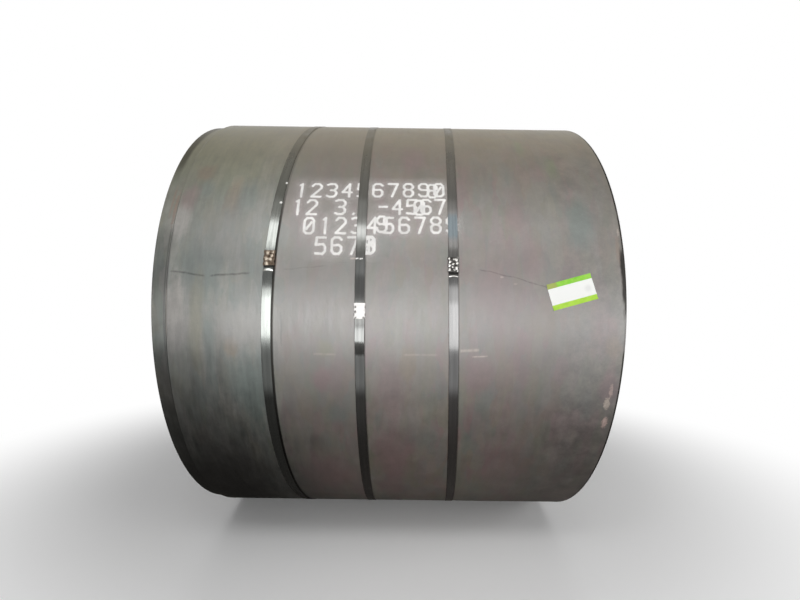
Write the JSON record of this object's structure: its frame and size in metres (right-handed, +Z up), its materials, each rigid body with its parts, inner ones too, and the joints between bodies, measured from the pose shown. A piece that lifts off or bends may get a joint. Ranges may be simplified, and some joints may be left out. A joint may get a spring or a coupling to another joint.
{
  "type": "steel coil",
  "caption": "Thick hot-rolled steel strip wound into a heavy coil lying on its side, open through the middle, bound round with flat steel straps and crimped seals, with a blank stuck-on label.",
  "frame": {"origin": "on the floor, under the middle of the coil's whole width and of its diameter", "axes": "+X along the coil's axis towards the end where the last turn stands out, +Z up, -Y towards the side with the seals and the label"},
  "size_m": [1.552, 1.8676, 1.8665],
  "materials": {
    "mill_scale_steel": "dull grey mill scale with streaks along the strip, and sheared bare edges",
    "strap_steel": "smooth waxed strapping steel, semi-bright",
    "seal_steel": "crimped sheet steel, scuffed, one of them rusty",
    "label_paper": "matte white with two green bands, blank"
  },
  "bodies": {
    "root": {"coil": "mill_scale_steel", "left_strap": "strap_steel", "middle_strap": "strap_steel", "right_strap": "strap_steel", "left_seal": "seal_steel", "middle_seal": "seal_steel", "right_seal": "seal_steel", "label": "label_paper"}
  },
  "joints": []
}
